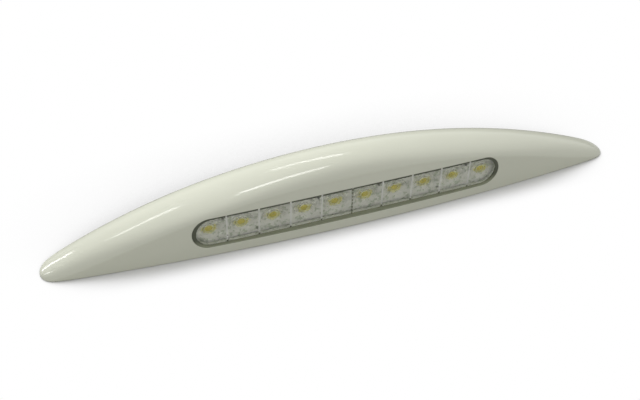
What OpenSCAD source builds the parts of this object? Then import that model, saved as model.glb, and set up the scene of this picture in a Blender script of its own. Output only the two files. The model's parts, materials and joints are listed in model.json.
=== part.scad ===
// Awning light: a bow-shaped wall lamp with ten collimated LEDs in one straight window.
// The mounting face lies on z = 0, +X runs along the lamp and the window faces -Y.

/* [Cover] */
// Length of the cover from nose to nose
cover_len = 380; // [372:2:420]
// Width of the cover across its mounting face, at the middle
cover_w = 56; // [54:1:64]
// Height of the cover above the mounting face, at the middle
cover_h = 42.5; // [41.5:0.5:50]
// Height of the flat front facet, at the middle
facet_h = 36.7; // [36:0.1:38]
// Wall of the cover
wall = 2.5; // [2:0.1:2.8]
// How far the front edge falls back at the noses
front_sag = 10.7; // [9:0.1:12]
// How far the rear edge comes in at the noses
rear_sag = 27.4; // [26:0.2:29]
// Lean of the front facet at the middle, in degrees
face_lean = 7.2; // [5:0.2:8]
// Lean of the front facet at the noses, in degrees
nose_lean = 0.5; // [0:0.1:1]
// Height left at the noses before they round off
nose_h = 2.5; // [2:0.1:4]
// Length of each nose that is moulded solid
nose_solid = 12; // [11:0.5:16]

/* [Window] */
// Height of the window in the facet
window_h = 21.4; // [20.4:0.1:21.6]
// Length that the window has beyond its row of cells
window_margin = 2.8; // [2:0.1:4]
// Height of the window's centre above the mounting face
window_z = 17.1; // [16.8:0.1:17.4]
// Depth of the collar behind the middle of the facet, down to the seal's seat
collar_depth = 5; // [4.8:0.1:5.4]
// Wall of the collar
collar_t = 1.4; // [1.2:0.1:1.6]
// Depth of the lens's upright front behind the window's upper edge
lens_recess = 0.4; // [0.4:0.05:0.8]
// Width of the seal's lip above and below the lens
lip_t = 0.8; // [0.7:0.05:1]
// Width of the seal's lip at the two ends of the lens
lip_end_t = 2.4; // [2:0.1:2.6]
// Depth of the seal's lip behind the facet
lip_recess = 0.1; // [0.1:0.05:0.3]

/* [Lens and LEDs] */
// Number of cells, with one LED each
cell_count = 10; // [8:2:10]
// Distance from one cell to the next
cell_pitch = 20; // [19:0.1:20.2]
// Thickness of the lens's flange
flange_t = 1.6; // [1.4:0.1:2]
// Width of the lens's flange beyond the window
flange_w = 1.1; // [0.9:0.1:1.2]
// Thickness of the seal between collar and flange, as pressed
gasket_t = 0.8; // [0.6:0.1:1]
// Front diameter of the lens cup in a cell
bowl_d = 15.6; // [14.6:0.1:16]
// Rear diameter of the lens cup in a cell
bowl_back_d = 10; // [9.6:0.1:11]
// Depth of the lens cup behind the flange
bowl_depth = 1.8; // [1.6:0.1:2.2]
// Diameter of the recess that takes the LED
bowl_recess_d = 7.6; // [7.4:0.1:7.8]
// Width of a rib between two cells
rib_w = 1.1; // [0.8:0.1:1.4]
// Height of a rib above the lens's front
rib_h = 0.3; // [0.2:0.05:0.35]
// Length and width of an LED package
led_size = [5, 5];
// Height of an LED package with its dome
led_h = 1.6; // [1.4:0.1:1.8]
// Diameter of the dome on an LED package
led_dome_d = 4.2; // [3.8:0.1:4.6]

/* [LED board and carrier] */
// Height of the LED board
board_h = 18.6; // [18:0.1:19]
// Thickness of the LED board
board_t = 1.6; // [1.2:0.1:2]
// Thickness of the thermal pad
pad_t = 0.5; // [0.3:0.1:0.8]
// Thickness of the carrier's two legs
carrier_t = 2; // [1.6:0.1:2.2]
// Height of the carrier from the underside of its foot
carrier_h = 20.4; // [19.8:0.1:20.6]
// Width of the carrier's foot behind the upright leg
foot_w = 9; // [8.6:0.1:9.4]
// Diameter of the screws that clamp lens, board and carrier
clamp_screw_d = 2.4; // [2:0.1:2.6]
// Diameter of the lens's bosses for those screws
clamp_boss_d = 4.4; // [4:0.1:4.8]
// Diameter of the two pegs that line up lens, board and carrier
peg_d = 2.2; // [1.8:0.1:2.6]
// Diameter of the screws that hold the carrier's foot
foot_screw_d = 2.9; // [2.4:0.1:3.1]

/* [Base plate] */
// Thickness of the base plate
base_t = 3; // [2.6:0.1:3.2]
// Height of the bosses under the carrier's foot
foot_boss_h = 3; // [2.8:0.1:3.4]
// Distance between the two wall screws
wall_screw_span = 260; // [250:2:264]
// Diameter of the holes for the wall screws
wall_hole_d = 4.5; // [4:0.1:5.2]
// Height of the pads round the wall screws
wall_pad_h = 1.6; // [1:0.1:2.4]
// Width of the seal against the wall
seal_w = 2.4; // [2:0.1:3]
// Depth of the seal's groove
seal_t = 1.2; // [1:0.1:1.5]
// Width of a snap hook
hook_w = 9; // [7:0.5:11]
// Thickness of a snap hook's arm
hook_t = 1.6; // [1.4:0.1:2]
// Height of the cover's catches above the mounting face
catch_z = 8; // [7.5:0.1:9]
// How far a catch stands in from the cover's wall
catch_d = 1.8; // [1.6:0.1:2]

/* [Driver board and supply] */
// Length and width of the driver board
driver_size = [72, 18];
// Thickness of the driver board
driver_t = 1.6; // [1.2:0.1:2]
// Distance from the lamp's middle to the driver board's near end
driver_x = 8; // [6:0.5:10]
// Height of the posts under the driver board
post_h = 5; // [4:0.1:6]
// Diameter of the screws that hold the driver board
driver_screw_d = 2.1; // [1.8:0.1:2.3]
// Diameter of the inductor
coil_d = 11; // [9:0.5:12]
// Diameter of the input capacitor
cap_in_d = 8; // [6.3:0.1:8.4]
// Diameter of the output capacitor
cap_out_d = 6.3; // [5:0.1:6.8]
// Distance between the terminal block's two ways
way_pitch = 5.08; // [5:0.01:5.2]
// Diameter of the cable bore in the grommet
cable_d = 5; // [4:0.1:6]
// Distance from the lamp's middle to the grommet
grommet_x = 26; // [24:0.5:40]
// Diameter of the insulated leads to the LED board
lead_d = 1.6; // [1.2:0.1:1.8]

/* [Fits] */
// Gap on each side of the seal's lip
lens_gap = 0.05; // [0.03:0.01:0.1]
// Gap between the base plate and the cover
base_gap = 0.4; // [0.3:0.05:0.6]
// Gap round a screw or peg in its clearance hole
hole_gap = 0.2; // [0.15:0.05:0.3]
// Gap round a screw in the hole that it taps
tap_gap = 0.05; // [0.03:0.01:0.08]
// Gap at a snap hook
snap_gap = 0.3; // [0.2:0.05:0.4]

/* [Hidden] */
$fn = 48;
LEDS = [for (i = [1 : cell_count]) str("led_", i)];

// Cover: curves along the lamp
half_len = cover_len / 2;
rear_curve = 3;
top_curve = 1.93;
facet_curve = 2.74;
facet_fall = 1.55;
lean_fall = 2.9;
nose_round = 49;
apex_share = 0.318;
cavity_half = half_len - nose_solid;

function along(x) = min(abs(x) / half_len, 1);
function front_y(x) = front_sag * pow(along(x), 2) - cover_w / 2;
function rear_y(x) = cover_w / 2 - rear_sag * pow(along(x), rear_curve);
function top_z(x) = cover_h - (cover_h - nose_h) * pow(along(x), top_curve);
function facet_z(x) = facet_h * pow(1 - pow(along(x), facet_curve), facet_fall);
function lean(x) = tan(nose_lean) + (tan(face_lean) - tan(nose_lean)) * pow(1 - pow(along(x), 2), lean_fall);

// A skin is the cover's form set in by inset, with noses that close at half
function nose(x, half) = sqrt(max(0, 1 - pow(abs(x) / half, nose_round)));
function tip(inset, half) = (rear_y(half) - front_y(half)) / 2 - inset;
function skin_front(x, inset, half) = front_y(x) + inset + (1 - nose(x, half)) * tip(inset, half);
function skin_rear(x, inset, half) = rear_y(x) - inset - (1 - nose(x, half)) * tip(inset, half);
function skin_top(x, inset, half) = (top_z(x) - inset) * nose(x, half);
function skin_crease(x, inset, half) =
    min((facet_z(x) - inset) * nose(x, half), 0.97 * skin_top(x, inset, half));

// Sections of a skin: the leaning facet, the shoulder over the crease and the long rear slope
function stations(half, count) = [
    for (i = [-count : count]) let (s = abs(i) / count) sign(i) * half * 0.9999 * (1 - pow(1 - s, 2))
];
function section(x, inset, half, steps, below) =
    let (
        yf = skin_front(x, inset, half),
        yr = skin_rear(x, inset, half),
        top = skin_top(x, inset, half),
        crease = max(skin_crease(x, inset, half), 0.02 * top),
        yc = yf + lean(x) * crease,
        ya = yc + apex_share * (yr - yc)
    )
    concat(
        below > 0 ? [[x, yf, -below]] : [],
        [for (i = [0 : 2]) [x, yf + lean(x) * crease * i / 2, crease * i / 2]],
        [for (i = [1 : steps]) let (a = 90 * i / steps)
            [x, ya - (ya - yc) * cos(a), crease + (top - crease) * sin(a)]],
        [for (i = [1 : steps]) let (a = 90 * i / steps)
            [x, ya + (yr - ya) * sin(a), top * cos(a)]],
        below > 0 ? [[x, yr, -below]] : []
    );

module loft(rings) {
    m = len(rings[0]);
    last = len(rings) - 1;
    polyhedron(
        points = [for (ring = rings) each ring],
        faces = concat(
            [[for (j = [m - 1 : -1 : 0]) j]],
            [for (i = [0 : last - 1]) for (j = [0 : m - 1])
                let (k = (j + 1) % m) each [
                    [i * m + j, (i + 1) * m + k, (i + 1) * m + j],
                    [i * m + j, i * m + k, (i + 1) * m + k]
                ]],
            [[for (j = [0 : m - 1]) last * m + j]]
        )
    );
}

module skin(inset, half, count, steps, below = 0) {
    loft([for (x = stations(half, count)) section(x, inset, half, steps, below)]);
}

module cavity() {
    skin(wall, cavity_half, 16, 8, 1);
}

// Light unit: everything behind the window stands upright, placed by its depth behind the facet's middle
row_l = cell_count * cell_pitch;
window_l = row_l + window_margin;
flange_front = collar_depth + gasket_t;
flange_back = flange_front + flange_t;
bowl_back = flange_back + bowl_depth;
board_gap = 0.3;
board_front = bowl_back + board_gap;
board_back = board_front + board_t;
carrier_front = board_back + pad_t;
carrier_back = carrier_front + carrier_t;
board_l = row_l + 2;
carrier_l = board_l + 2;
window_y = tan(face_lean) * window_z - cover_w / 2;
function cell_x(i) = (i - (cell_count + 1) / 2) * cell_pitch;
window_reach = 10;

module in_unit() {
    translate([0, window_y, window_z]) children();
}

// A slab with round ends, upright, from one depth to another
module stadium(l, h, from, to) {
    translate([0, to, 0]) rotate([90, 0, 0]) linear_extrude(to - from) union() {
        square([l - h, h], center = true);
        for (side = [-1, 1]) translate([side * (l - h) / 2, 0]) circle(d = h);
    }
}

// Something that points away from the window, such as a screw hole, at one place in the unit
module at_depth(x, depth, up) {
    translate([x, depth, up]) rotate([-90, 0, 0]) children();
}

// An upright plate with cut corners
module plate(l, h, corner, from, to) {
    translate([0, to, 0]) rotate([90, 0, 0]) linear_extrude(to - from) polygon([
        for (side = [[1, 1], [-1, 1], [-1, -1], [1, -1]]) for (cut = side[0] * side[1] > 0 ? [0, 1] : [1, 0])
            [side[0] * (l / 2 - cut * corner), side[1] * (h / 2 - (1 - cut) * corner)]
    ]);
}

// Clamp screws and pegs stand between cells, the screws above and the pegs below
clamp_up = window_h / 2 - 3.6;
CLAMP_X = [for (k = [cell_count / 2 - 1, 1]) each [-k * cell_pitch, k * cell_pitch]];
PEG_X = [for (side = [-1, 1]) side * (cell_count / 2 - 2) * cell_pitch];
clamp_bite = 4.5;

module clamp_holes(gap, from, to) {
    for (x = CLAMP_X) at_depth(x, from, clamp_up) cylinder(d = clamp_screw_d + 2 * gap, h = to - from);
    for (x = PEG_X) at_depth(x, from, -clamp_up) cylinder(d = peg_d + 2 * gap, h = to - from);
}

// A pan-head screw with a cross recess, its head's underside at the origin and its shank below
module pan_screw(d, l) {
    head_d = 1.85 * d;
    head_h = 0.65 * d;
    slot_w = 0.28 * d;
    difference() {
        union() {
            translate([0, 0, -l]) cylinder(d = d, h = l + head_h / 2);
            cylinder(d = head_d, h = head_h * 0.6);
            translate([0, 0, head_h * 0.6]) cylinder(d1 = head_d, d2 = head_d * 0.7, h = head_h * 0.4);
        }
        for (turn = [0, 90]) rotate([0, 0, turn]) translate([-head_d * 0.28, -slot_w / 2, head_h * 0.45])
            cube([head_d * 0.56, slot_w, head_h]);
    }
}

// Snap hooks: where they stand and where the cover's inner wall is beside them
hook_x_front = 125;
hook_x_rear = 100;
HOOKS = [[-hook_x_front, -1], [hook_x_front, -1], [-hook_x_rear, 1], [0, 1], [hook_x_rear, 1]];
barb_h = 2.4;
catch_lip = 1;
facet_slack = 0.5;

function wall_front(x, z) = skin_front(x, wall, cavity_half) + lean(x) * z;
function wall_rear(x, z) =
    let (
        yr = skin_rear(x, wall, cavity_half),
        yc = wall_front(x, skin_crease(x, wall, cavity_half)),
        ya = yc + apex_share * (yr - yc)
    )
    ya + (yr - ya) * sqrt(1 - pow(z / skin_top(x, wall, cavity_half), 2));
function hook_wall(hook, z) =
    let (x = abs(hook[0]) + hook_w / 2)
    hook[1] < 0 ? wall_front(x, z) : wall_rear(x, z);

// The catch on the cover: a ledge with a flat top and a slope below it
module catch(hook) {
    side = hook[1];
    y_wall = hook_wall(hook, catch_z);
    y_in = y_wall - side * catch_d;
    y_deep = y_wall + side * wall / 2;
    z_lip = catch_z - catch_lip;
    w = hook_w + 2 * catch_lip;
    translate([hook[0] - w / 2, 0, 0]) rotate([90, 0, 90]) linear_extrude(w)
        polygon([[y_in, catch_z], [y_in, z_lip], [y_deep, z_lip - catch_d - wall / 2], [y_deep, catch_z]]);
}

// The hook on the base plate: an upright arm with a barb that reaches over the catch
module hook(hook) {
    side = hook[1];
    y_arm = hook_wall(hook, catch_z) - side * (catch_d + snap_gap);
    z_barb = catch_z + snap_gap;
    y_barb = hook_wall(hook, z_barb) - side * (snap_gap + facet_slack);
    translate([hook[0] - hook_w / 2, 0, 0]) rotate([90, 0, 90]) linear_extrude(hook_w)
        polygon([
            [y_arm - side * hook_t, base_t - 1], [y_arm, base_t - 1], [y_arm, z_barb], [y_barb, z_barb],
            [y_arm, z_barb + barb_h], [y_arm - side * hook_t, z_barb + barb_h]
        ]);
}

// Stiffening ribs under the cover's rear slope
cover_rib_x = 48;
cover_rib_t = 1.5;
cover_rib_d = 3.5;
cover_rib_y = -3;
cover_rib_z = 17;

module cover_ribs() {
    difference() {
        for (k = [-3, -1, 1, 3])
            translate([k * cover_rib_x - cover_rib_t / 2, cover_rib_y, cover_rib_z * (4 - abs(k)) / 3])
                cube([cover_rib_t, cover_w / 2, cover_h]);
        skin(wall + cover_rib_d, cavity_half - cover_rib_d, 8, 6, 1);
    }
}

module cover() {
    color([0.84, 0.85, 0.79]) difference() {
        skin(0, half_len, 26, 10);
        difference() {
            cavity();
            in_unit() stadium(window_l + 2 * collar_t, window_h + 2 * collar_t, -window_reach, collar_depth);
            for (hook = HOOKS) catch(hook);
            cover_ribs();
        }
        in_unit() stadium(window_l, window_h, -window_reach, collar_depth + 1);
        in_unit() stadium(window_l + 2 * collar_t, window_h + 2 * collar_t, collar_depth, flange_back + 1);
    }
}

// Base plate: its outline follows the cover's inner wall
base_stop = 6;
base_half = cavity_half - base_stop;
base_slack = 0.25;
base_inset = wall + base_gap + base_slack + tan(face_lean) * base_t;
seal_inset = base_inset + 2;

module outline(inset, half) {
    xs = stations(half, 20);
    polygon(concat(
        [for (x = xs) [x, skin_front(x, inset, half)]],
        [for (i = [len(xs) - 1 : -1 : 0]) [xs[i], skin_rear(xs[i], inset, half)]]
    ));
}

module seal_ring(grow) {
    difference() {
        outline(seal_inset - grow, base_half - 2 + grow);
        outline(seal_inset + seal_w + grow, base_half - 2 - seal_w - grow);
    }
}

// Carrier's foot: a level leg behind the upright one, on three bosses
foot_z = base_t + foot_boss_h;
foot_end = window_y + carrier_back + foot_w;
foot_edge = 2.4;
foot_screw_y = foot_end - foot_screw_d / 2 - foot_edge;
foot_bite = foot_boss_h + 0.4 * base_t;
foot_screw_in = 22;
FOOT_X = [-1, 0, 1] * (row_l / 2 - foot_screw_in);

// Driver board, midway between the carrier's foot and the cover's rear wall
driver_z = base_t + post_h;
driver_top = driver_z + driver_t;
driver_low_x = -driver_x - driver_size[0];
driver_mid = (foot_end + wall_rear(driver_low_x, driver_top)) / 2;
driver_y = driver_mid - driver_size[1] / 2;
driver_bite = post_h - 0.5;
driver_edge = 2.6;
DRIVER_SCREWS = [
    for (x = [driver_edge, driver_size[0] - driver_edge])
        for (y = [driver_edge, driver_size[1] - driver_edge])
            [driver_low_x + x, driver_y + y]
];

// Grommet, in line with the driver board
grommet_y = driver_mid;
grommet_rise = 6;
wall_pad_w = 4;
grommet_wall = 2;
grommet_lip = 1.8;
grommet_pocket = 1.2;
grommet_lip_h = 1.5;
grommet_top = base_t + grommet_rise;
grommet_r = cable_d / 2 + grommet_wall;

module base_plate() {
    color([0.2, 0.2, 0.21]) difference() {
        union() {
            linear_extrude(base_t) outline(base_inset, base_half);
            for (x = FOOT_X) translate([x, foot_screw_y, 0]) cylinder(d = foot_screw_d + 4, h = foot_z);
            for (at = DRIVER_SCREWS) translate([at[0], at[1], 0])
                cylinder(d = driver_screw_d + 3, h = driver_z);
            for (side = [-1, 1]) translate([side * wall_screw_span / 2, 0, 0])
                cylinder(d = wall_hole_d + 2 * wall_pad_w, h = base_t + wall_pad_h);
            for (hook = HOOKS) hook(hook);
            for (side = [-1, 1]) for (step = [-14, 14, 30]) base_rib(side * (wall_screw_span / 2 + step));
        }
        translate([0, 0, -1]) linear_extrude(seal_t + 1) seal_ring(0.1);
        for (side = [-1, 1]) translate([side * wall_screw_span / 2, 0, -1])
            cylinder(d = wall_hole_d, h = base_t + wall_pad_h + 2);
        for (x = FOOT_X) translate([x, foot_screw_y, foot_z - foot_bite])
            cylinder(d = foot_screw_d + 2 * tap_gap, h = foot_bite + 1);
        for (at = DRIVER_SCREWS) translate([at[0], at[1], driver_z - driver_bite])
            cylinder(d = driver_screw_d + 2 * tap_gap, h = driver_bite + 1);
        translate([grommet_x, grommet_y, -1]) cylinder(r = grommet_r, h = base_t + 2);
        translate([grommet_x, grommet_y, -1])
            cylinder(r = grommet_r + grommet_lip + hole_gap, h = grommet_pocket + 1);
    }
}

module base_rib(x) {
    y_low = skin_front(x, base_inset + 3, base_half);
    y_high = skin_rear(x, base_inset + 3, base_half);
    translate([x - 0.6, y_low, base_t - 1]) cube([1.2, y_high - y_low, 2.6]);
}

module wall_seal() {
    color([0.12, 0.12, 0.13]) linear_extrude(seal_t) seal_ring(0);
}

// Lens: an upright bar whose front follows the window's upper edge, its flange, the ribs between its cells
// and a shallow lens cup in each cell
bowl_steps = 6;
lens_l = window_l - 2 * (lip_end_t + 2 * lens_gap);
lens_h = window_h - 2 * (lip_t + 2 * lens_gap);
led_pocket = led_h + 0.3;
crown_steps = 20;
rib_tab_t = 1;
rib_nick = 0.9;

function crown_y(x) = front_y(x) + lean(x) * (window_z + window_h / 2) + lens_recess;

module bowl() {
    r_back = bowl_back_d / 2;
    r_front = bowl_d / 2;
    rotate_extrude() polygon(concat(
        [[0, -flange_t / 2], [r_front, -flange_t / 2]],
        [for (i = [0 : bowl_steps]) let (t = 1 - i / bowl_steps)
            [sqrt(r_back * r_back + (r_front * r_front - r_back * r_back) * t), bowl_depth * (1 - t)]],
        [[0, bowl_depth]]
    ));
}

// Cuts what stands in the unit back to the lens's crown, or to a front that lies rise before it
module behind_crown(rise) {
    back = window_y + flange_back + window_reach;
    intersection() {
        children();
        translate([0, -window_y, -window_h]) linear_extrude(2 * window_h) polygon(concat(
            [for (i = [-crown_steps : crown_steps]) let (x = i * window_l / 2 / crown_steps)
                [x, crown_y(x) - rise]],
            [[window_l / 2, back], [-window_l / 2, back]]
        ));
    }
}

// A rib stands on the lens's front, and its head bridges the seal's lip to the window's upper edge
module rib(i) {
    x = cell_x(i + 0.5);
    head = (window_h + lens_h) / 2 - 2 * lens_gap;
    difference() {
        translate([x - rib_w / 2, -window_reach, -lens_h / 2])
            cube([rib_w, window_reach + crown_y(x) - window_y + rib_tab_t, head]);
        if (i == cell_count / 2) for (k = [-2 : 2])
            translate([x - rib_w, -window_reach, k * lens_h / 6 - rib_nick / 2])
                cube([2 * rib_w, window_reach + crown_y(x) - window_y, rib_nick]);
    }
}

module lens() {
    color([0.8, 0.84, 0.83]) in_unit() difference() {
        union() {
            behind_crown(0) stadium(lens_l, lens_h, -window_reach, flange_back);
            stadium(window_l + 2 * flange_w, window_h + 2 * flange_w, flange_front, flange_back);
            behind_crown(rib_h) for (i = [1 : cell_count - 1]) rib(i);
            for (i = [1 : cell_count]) at_depth(cell_x(i), flange_back, 0) bowl();
            for (x = CLAMP_X) at_depth(x, flange_back - 1, clamp_up)
                cylinder(d = clamp_boss_d, h = board_front - flange_back + 1);
            for (x = PEG_X) at_depth(x, flange_back - 1, -clamp_up)
                cylinder(d = peg_d, h = board_back - flange_back + 1);
        }
        for (i = [1 : cell_count]) at_depth(cell_x(i), bowl_back - led_pocket, 0)
            cylinder(d = bowl_recess_d, h = led_pocket + 1);
        for (x = CLAMP_X) at_depth(x, board_front - clamp_bite - 0.5, clamp_up)
            cylinder(d = clamp_screw_d + 2 * tap_gap, h = clamp_bite + 1);
    }
}

// Seal round the lens: a flat ring under the flange and a lip that lines the window up to the facet
module lens_gasket() {
    edge = 2 * (flange_w - 0.1);
    color([0.25, 0.26, 0.24]) in_unit() difference() {
        union() {
            stadium(window_l + edge, window_h + edge, collar_depth, flange_front);
            intersection() {
                stadium(window_l - 2 * lens_gap, window_h - 2 * lens_gap, -window_reach, flange_front);
                translate([0, -window_y, -window_z]) skin(lip_recess, cavity_half, 26, 4, 1);
            }
        }
        stadium(lens_l + 2 * lens_gap, lens_h + 2 * lens_gap, -window_reach - 1, flange_front + 1);
        for (i = [1 : cell_count - 1])
            let (x = cell_x(i + 0.5), back = crown_y(x) - window_y + rib_tab_t + lens_gap)
                translate([x - rib_w / 2 - lens_gap, -window_reach, 0])
                    cube([rib_w + 2 * lens_gap, window_reach + back, window_h]);
    }
}

// LED board and its LEDs
module led_board() {
    color([0.9, 0.91, 0.88]) in_unit() difference() {
        plate(board_l, board_h, 2, board_front, board_back);
        clamp_holes(hole_gap, board_front - 1, board_back + 1);
    }
}

module led(i) {
    dome_h = led_h * 0.3;
    dome_r = (led_dome_d * led_dome_d / 4 + dome_h * dome_h) / (2 * dome_h);
    color([0.85, 0.78, 0.3]) in_unit() translate([cell_x(i), board_front, 0]) rotate([90, 0, 0]) {
        translate([-led_size[0] / 2, -led_size[1] / 2, 0]) cube([led_size[0], led_size[1], led_h - dome_h]);
        intersection() {
            cylinder(d = led_dome_d, h = led_h);
            translate([0, 0, led_h - dome_r]) sphere(r = dome_r);
        }
    }
}

module thermal_pad() {
    color([0.55, 0.6, 0.66]) in_unit() difference() {
        plate(board_l - 3, board_h - 2, 1, board_back, carrier_front);
        clamp_holes(hole_gap + 0.3, board_back - 1, carrier_front + 1);
    }
}

// Carrier: an angle with an upright leg behind the board and a level foot
module led_carrier() {
    y = window_y + carrier_front;
    color([0.76, 0.77, 0.78]) difference() {
        translate([-carrier_l / 2, 0, 0]) rotate([90, 0, 90]) linear_extrude(carrier_l) polygon([
            [y, foot_z], [foot_end, foot_z], [foot_end, foot_z + carrier_t],
            [y + carrier_t, foot_z + carrier_t], [y + carrier_t, foot_z + carrier_h], [y, foot_z + carrier_h]
        ]);
        in_unit() clamp_holes(hole_gap, carrier_front - 1, carrier_back + 1);
        for (x = FOOT_X) translate([x, foot_screw_y, foot_z - 1])
            cylinder(d = foot_screw_d + 2 * hole_gap, h = carrier_t + 2);
    }
}

module clamp_screws() {
    color([0.7, 0.7, 0.72]) in_unit() for (x = CLAMP_X) at_depth(x, carrier_back, clamp_up)
        pan_screw(clamp_screw_d, carrier_back - board_front + clamp_bite);
}

module foot_screws() {
    color([0.7, 0.7, 0.72]) for (x = FOOT_X) translate([x, foot_screw_y, foot_z + carrier_t])
        pan_screw(foot_screw_d, carrier_t + foot_bite - 0.4);
}

// Driver board, with its parts placed from its low corner
block_d = 8;
block_in = 5;
parts_y = 6.5;
part_space = 3;
coil_at = [24, 8.5];
cap_in_at = [driver_size[0] - block_in - block_d - part_space - cap_in_d / 2, parts_y];
cap_out_at = [14, parts_y];
chip_at = [38, 10.5];
diode_at = [47, 13.4];
resistors_at = [30, 15.8];
resistor_step = 3;

module on_driver(at) {
    translate([driver_low_x + at[0], driver_y + at[1], driver_top]) children();
}

module driver_board() {
    color([0.1, 0.35, 0.2]) difference() {
        translate([driver_low_x, driver_y, driver_z]) cube([driver_size[0], driver_size[1], driver_t]);
        for (at = DRIVER_SCREWS) translate([at[0], at[1], driver_z - 1])
            cylinder(d = driver_screw_d + 2 * hole_gap, h = driver_t + 2);
    }
}

module driver_screws() {
    color([0.7, 0.7, 0.72]) for (at = DRIVER_SCREWS) translate([at[0], at[1], driver_top])
        pan_screw(driver_screw_d, driver_t + driver_bite - 0.4);
}

module inductor() {
    coil_h = coil_d / 2;
    color([0.2, 0.2, 0.22]) on_driver(coil_at) {
        cylinder(d = coil_d, h = coil_h * 0.22);
        cylinder(d = coil_d * 0.8, h = coil_h);
        translate([0, 0, coil_h * 0.78]) cylinder(d = coil_d, h = coil_h * 0.22);
    }
}

module can(d, h) {
    bead = d * 0.05;
    rotate_extrude() polygon([
        [0, 0], [d / 2 - bead, 0], [d / 2, bead], [d / 2, h * 0.1], [d / 2 - bead, h * 0.14],
        [d / 2, h * 0.18], [d / 2, h - bead], [d / 2 - bead, h], [d * 0.4, h], [d * 0.4, h - bead],
        [0, h - bead]
    ]);
}

module input_capacitor() {
    color([0.25, 0.28, 0.4]) on_driver(cap_in_at) can(cap_in_d, cap_in_d * 1.3);
}

module output_capacitor() {
    color([0.25, 0.28, 0.4]) on_driver(cap_out_at) can(cap_out_d, cap_out_d * 1.25);
}

module driver_chip() {
    color([0.08, 0.08, 0.09]) on_driver(chip_at) {
        translate([-2.45, -1.95, 0.2]) cube([4.9, 3.9, 1.5]);
        for (i = [0 : 3]) for (side = [-1, 1]) translate([(i - 1.5) * 1.27, side * 2.3, 0]) {
            translate([-0.2, -0.7, 0]) cube([0.4, 1.4, 0.25]);
            translate([-0.2, -0.45, 0]) cube([0.4, 0.3, 0.9]);
            translate([-0.2, side < 0 ? -0.45 : -0.55, 0.65]) cube([0.4, 1, 0.25]);
        }
    }
}

module rectifier_diode() {
    color([0.12, 0.12, 0.13]) on_driver(diode_at) {
        translate([-2.15, -1.8, 0.15]) cube([4.3, 3.6, 2]);
        for (side = [-1, 1]) translate([side * 2.2 - 0.5, -1, 0]) cube([1, 2, 1]);
    }
}

module chip_resistors() {
    color([0.3, 0.28, 0.26]) for (i = [0 : 4]) on_driver(resistors_at + [i * resistor_step, 0])
        translate([-1, -0.6, 0]) cube([2, 1.2, 0.5]);
}

// Terminal block: two ways whose wire entries face the grommet
block_h = 10;
block_x = -driver_x - block_in - block_d;
block_y = driver_mid - way_pitch;
way_z = 3.2;
wire_d = 2.8;
way_screw_d = 2.4;
CLAMP_BOX = [5.4, 3.6, 6.2];

module each_way() {
    for (i = [0.5, 1.5]) translate([block_x + block_d / 2, block_y + i * way_pitch, driver_top]) children();
}

module terminal_block() {
    color([0.15, 0.4, 0.25]) difference() {
        translate([block_x, block_y, driver_top]) cube([block_d, 2 * way_pitch, block_h]);
        each_way() {
            translate([0, 0, CLAMP_BOX[2] / 2 - 0.5])
                cube([CLAMP_BOX[0] + 0.4, CLAMP_BOX[1] + 0.4, CLAMP_BOX[2] + 1.4], center = true);
            translate([0, 0, way_z]) rotate([0, 90, 0]) cylinder(d = wire_d + 0.8, h = block_d);
            cylinder(d = way_screw_d * 1.85 + 0.4, h = block_h + 1);
        }
    }
}

module terminal_clamps() {
    color([0.75, 0.65, 0.35]) each_way() difference() {
        translate([0, 0, CLAMP_BOX[2] / 2]) cube(CLAMP_BOX, center = true);
        translate([-CLAMP_BOX[0], 0, way_z]) rotate([0, 90, 0]) cylinder(d = wire_d, h = 2 * CLAMP_BOX[0]);
        translate([0, 0, way_z]) cylinder(d = way_screw_d + 2 * tap_gap, h = CLAMP_BOX[2]);
    }
}

module terminal_screws() {
    head_z = CLAMP_BOX[2] + 1.2;
    color([0.7, 0.7, 0.72]) each_way() translate([0, 0, head_z])
        pan_screw(way_screw_d, head_z - way_z - wire_d / 2 + 0.4);
}

// Header and plug for the leads to the LED board
header_size = [7, 7.6, 5.4];
header_wall = 0.9;
header_at = [0.5, (driver_size[1] - header_size[1]) / 2];
plug_gap = 0.15;
plug_reach = 5.5;
plug_out = 2;
lead_step = 2.5;
lead_bore = 3;
lead_z = driver_top + header_size[2] / 2;

module lead_header() {
    color([0.88, 0.86, 0.78]) on_driver(header_at) difference() {
        cube(header_size);
        translate([-1, header_wall, header_wall])
            cube([plug_reach + 1, header_size[1] - 2 * header_wall, header_size[2] - 2 * header_wall]);
    }
}

module lead_plug() {
    inset = header_wall + plug_gap;
    color([0.92, 0.91, 0.86]) difference() {
        on_driver(header_at - [plug_out, 0]) translate([0, inset, inset])
            cube([plug_out + plug_reach - 0.3, header_size[1] - 2 * inset, header_size[2] - 2 * inset]);
        for (side = [-1, 1]) translate([lead_start_x - 1, lead_y(side), lead_z]) rotate([0, 90, 0])
            cylinder(d = lead_d + 2 * tap_gap, h = lead_bore + 1);
    }
}

// Leads: from the plug, round the carrier's end, to the front of the LED board
lead_start_x = driver_low_x + header_at[0] - plug_out;
function lead_y(side) = driver_mid + side * lead_step / 2;
function pad_point(out, depth, up) = [-board_l / 2 + out, window_y + depth, window_z + up];

RED_TURN = [[-91, 7, 13], [-102, 1.5, 14], [-106, -5, 14.5], [-106, -11.5, 14], [-104.6, -15.4, 13.4]];
BLACK_TURN = [[-92, 10, 14], [-105, 4, 17], [-109, -5, 19], [-107.5, -11.5, 19.5], [-105, -15.4, 19.4]];
RED_UP = -4;
BLACK_UP = 2;

function lead_route(side, turn, up) = concat(
    [for (out = [lead_bore - 0.3, -1, -4]) [lead_start_x + out, lead_y(side), lead_z]],
    turn,
    [for (out = [-1.6, 0.4, 1.4, 2.4]) pad_point(out, board_front - lead_d / 2 - 0.1, up)]
);

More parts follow.
